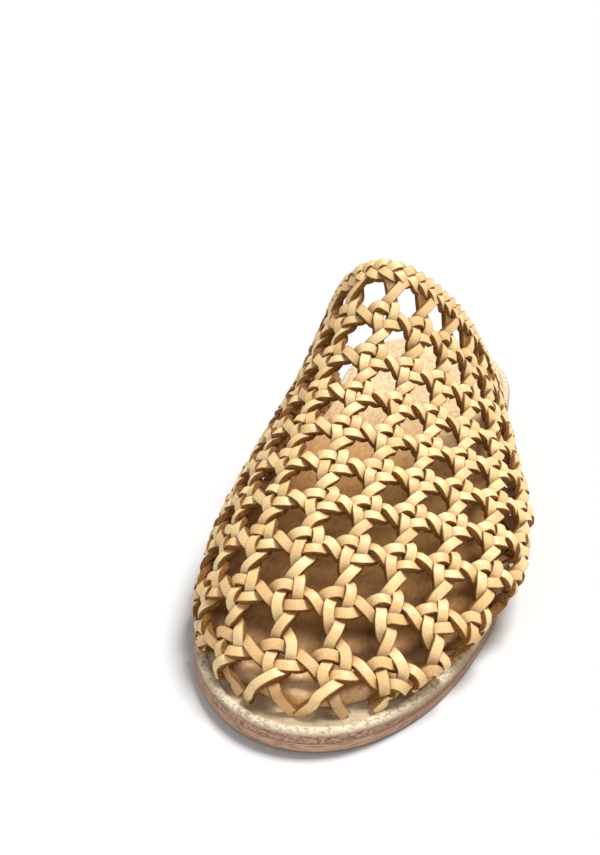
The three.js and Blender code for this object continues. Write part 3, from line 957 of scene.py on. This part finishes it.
def sweepStrips(name, strips, chance):
    places, lies, tones, paintedShades, edges = [], [], [], [], []
    for points, normals, under in strips:
        start = len(places)
        places += points.tolist()
        lies += normals.tolist()
        tones += [chance.uniform(0, 1)] * len(points)
        paintedShades += under.tolist()
        edges += [(k, k + 1) for k in range(start, len(places) - 1)]
    mesh = bpy.data.meshes.new(name)
    mesh.from_pydata(places, edges, [])
    lie = mesh.attributes.new("lie", "FLOAT_VECTOR", "POINT")
    lie.data.foreach_set("vector", np.array(lies, np.float32).ravel())
    storeMask(mesh, "tone", tones)
    # painted shade mask: 1 where a strip dips under another one
    storeMask(mesh, "under", paintedShades)
    holder = bpy.data.objects.new(name, mesh)
    bpy.context.scene.collection.objects.link(holder)
    modifier = holder.modifiers.new("stripSweep", "NODES")
    modifier.node_group = stripTree
    inputs = {
        "Strip Width": weave["stripWidth"] * mm,
        "Strip Thickness": weave["stripThickness"] * mm,
        "Corner Radius": weave["cornerRadius"] * mm,
        "Leather": stripLeather,
    }
    for item in stripTree.interface.items_tree:
        if item.in_out == "INPUT" and item.name in inputs:
            modifier[item.identifier] = inputs[item.name]
    view = bpy.context.evaluated_depsgraph_get()
    baked = bpy.data.meshes.new_from_object(holder.evaluated_get(view))
    holder.modifiers.clear()
    holder.data = baked
    baked.name = name
    print(name, len(strips), "strips", len(baked.polygons), "faces")
    return holder


chance = np.random.default_rng(weave["seed"])
weftPiece = sweepStrips("weftStrips", weftStrips(chance), chance)
warpPiece = sweepStrips("warpStrips", warpStrips(chance), chance)
collarPiece = sweepStrips("collarBraid", collarStrips(chance), chance)

for piece, slotName, nodeName in (
    (outsolePiece, "sole_leather", "outsole"),
    (midsolePiece, "welt_leather", "midsole"),
    (insolePiece, "insole_leather", "insole"),
    (weftPiece, "strip_leather", "upper"),
    (warpPiece, "strip_leather", "upper"),
    (collarPiece, "strip_leather", "upper"),
):
    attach(piece, "root")
    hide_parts(nodeName)


# Studio: pale floor, soft key light from above and behind, weak fill from the front
studio = {
    "floorSize": 12.0,
    "floorColour": (0.71, 0.71, 0.71),
    "roughness": 0.8,
    "specular": 0.2,
    "worldColour": (1, 1, 1),
    "worldStrength": 0.25,
    "backdropStrength": 1.0,
    "lights": {
        "keyLight": {"strength": 3.7, "spread": 24.0, "from": (0.28, 0.44, 1.0)},
        "fillLight": {"strength": 1.15, "spread": 80.0, "from": (0.0, -1.0, 0.42)},
    },
}

floorMesh = bpy.data.meshes.new("floor")
half = studio["floorSize"] / 2
floorCorners = [(-half, -half, 0), (half, -half, 0), (half, half, 0), (-half, half, 0)]
floorMesh.from_pydata(floorCorners, [], [(0, 1, 2, 3)])
floorMaterial, _, floorShader = newMaterial("paleFloor", studio)
floorShader.inputs["Base Color"].default_value = (*studio["floorColour"], 1)
floorMesh.materials.append(floorMaterial)
floor = bpy.data.objects.new("floor", floorMesh)
bpy.context.scene.collection.objects.link(floor)

world = bpy.data.worlds.new("studioWorld")
world.use_nodes = True
worldTree = world.node_tree
ambient = worldTree.nodes["Background"]
ambient.inputs["Color"].default_value = (*studio["worldColour"], 1)
ambient.inputs["Strength"].default_value = studio["worldStrength"]
white = {"Color": (*studio["worldColour"], 1), "Strength": studio["backdropStrength"]}
backdrop = addNode(worldTree, "ShaderNodeBackground", white)  # what shows past the floor
seen = addNode(worldTree, "ShaderNodeLightPath").outputs["Is Camera Ray"]
either = {0: seen, 1: ambient.outputs[0], 2: backdrop.outputs[0]}
shown = addNode(worldTree, "ShaderNodeMixShader", either)
worldTree.links.new(shown.outputs[0], worldTree.nodes["World Output"].inputs["Surface"])
bpy.context.scene.world = world

for lightName, light in studio["lights"].items():
    lamp = bpy.data.lights.new(lightName, "SUN")
    lamp.energy = light["strength"]
    lamp.angle = math.radians(light["spread"])
    lampHolder = bpy.data.objects.new(lightName, lamp)
    lampHolder.rotation_euler = Vector(light["from"]).to_track_quat("Z", "Y").to_euler()
    bpy.context.scene.collection.objects.link(lampHolder)


# Camera fitted to the photograph's frame of 600 by 855
photoCamera = {
    "place": (70.085, -395.35, 229.75),
    "yaw": -0.23615,
    "pitch": 0.46647,
    "roll": 0.00586,
    "focal": 1400.0,
    "frameHeight": 855.0,
    "sensor": 36.0,
    "nearest": 0.01,
}


def placeCamera():
    yaw, pitch, roll = photoCamera["yaw"], photoCamera["pitch"], photoCamera["roll"]
    level = math.cos(pitch)
    ahead = Vector((math.sin(yaw) * level, math.cos(yaw) * level, -math.sin(pitch)))
    right = Vector((math.cos(yaw), -math.sin(yaw), 0))
    up = right.cross(ahead)
    turnedRight = right * math.cos(roll) + up * math.sin(roll)
    turnedUp = up * math.cos(roll) - right * math.sin(roll)
    lens = bpy.data.cameras.new("photoCamera")
    lens.sensor_width = photoCamera["sensor"]
    lens.lens = photoCamera["sensor"] * photoCamera["focal"] / photoCamera["frameHeight"]
    lens.clip_start = photoCamera["nearest"]
    camera = bpy.data.objects.new("photoCamera", lens)
    middle = (frameMove[0], frameMove[1] + lastShape["footLength"] / 2, 0)
    place = Vector(photoCamera["place"]) + Vector(middle)
    turn = Matrix((turnedRight, turnedUp, -ahead)).transposed().to_4x4()
    camera.matrix_world = Matrix.Translation(place * mm) @ turn
    bpy.context.scene.collection.objects.link(camera)
    bpy.context.scene.camera = camera


placeCamera()
bpy.context.scene.view_settings.view_transform = "Standard"
print("studio ready")
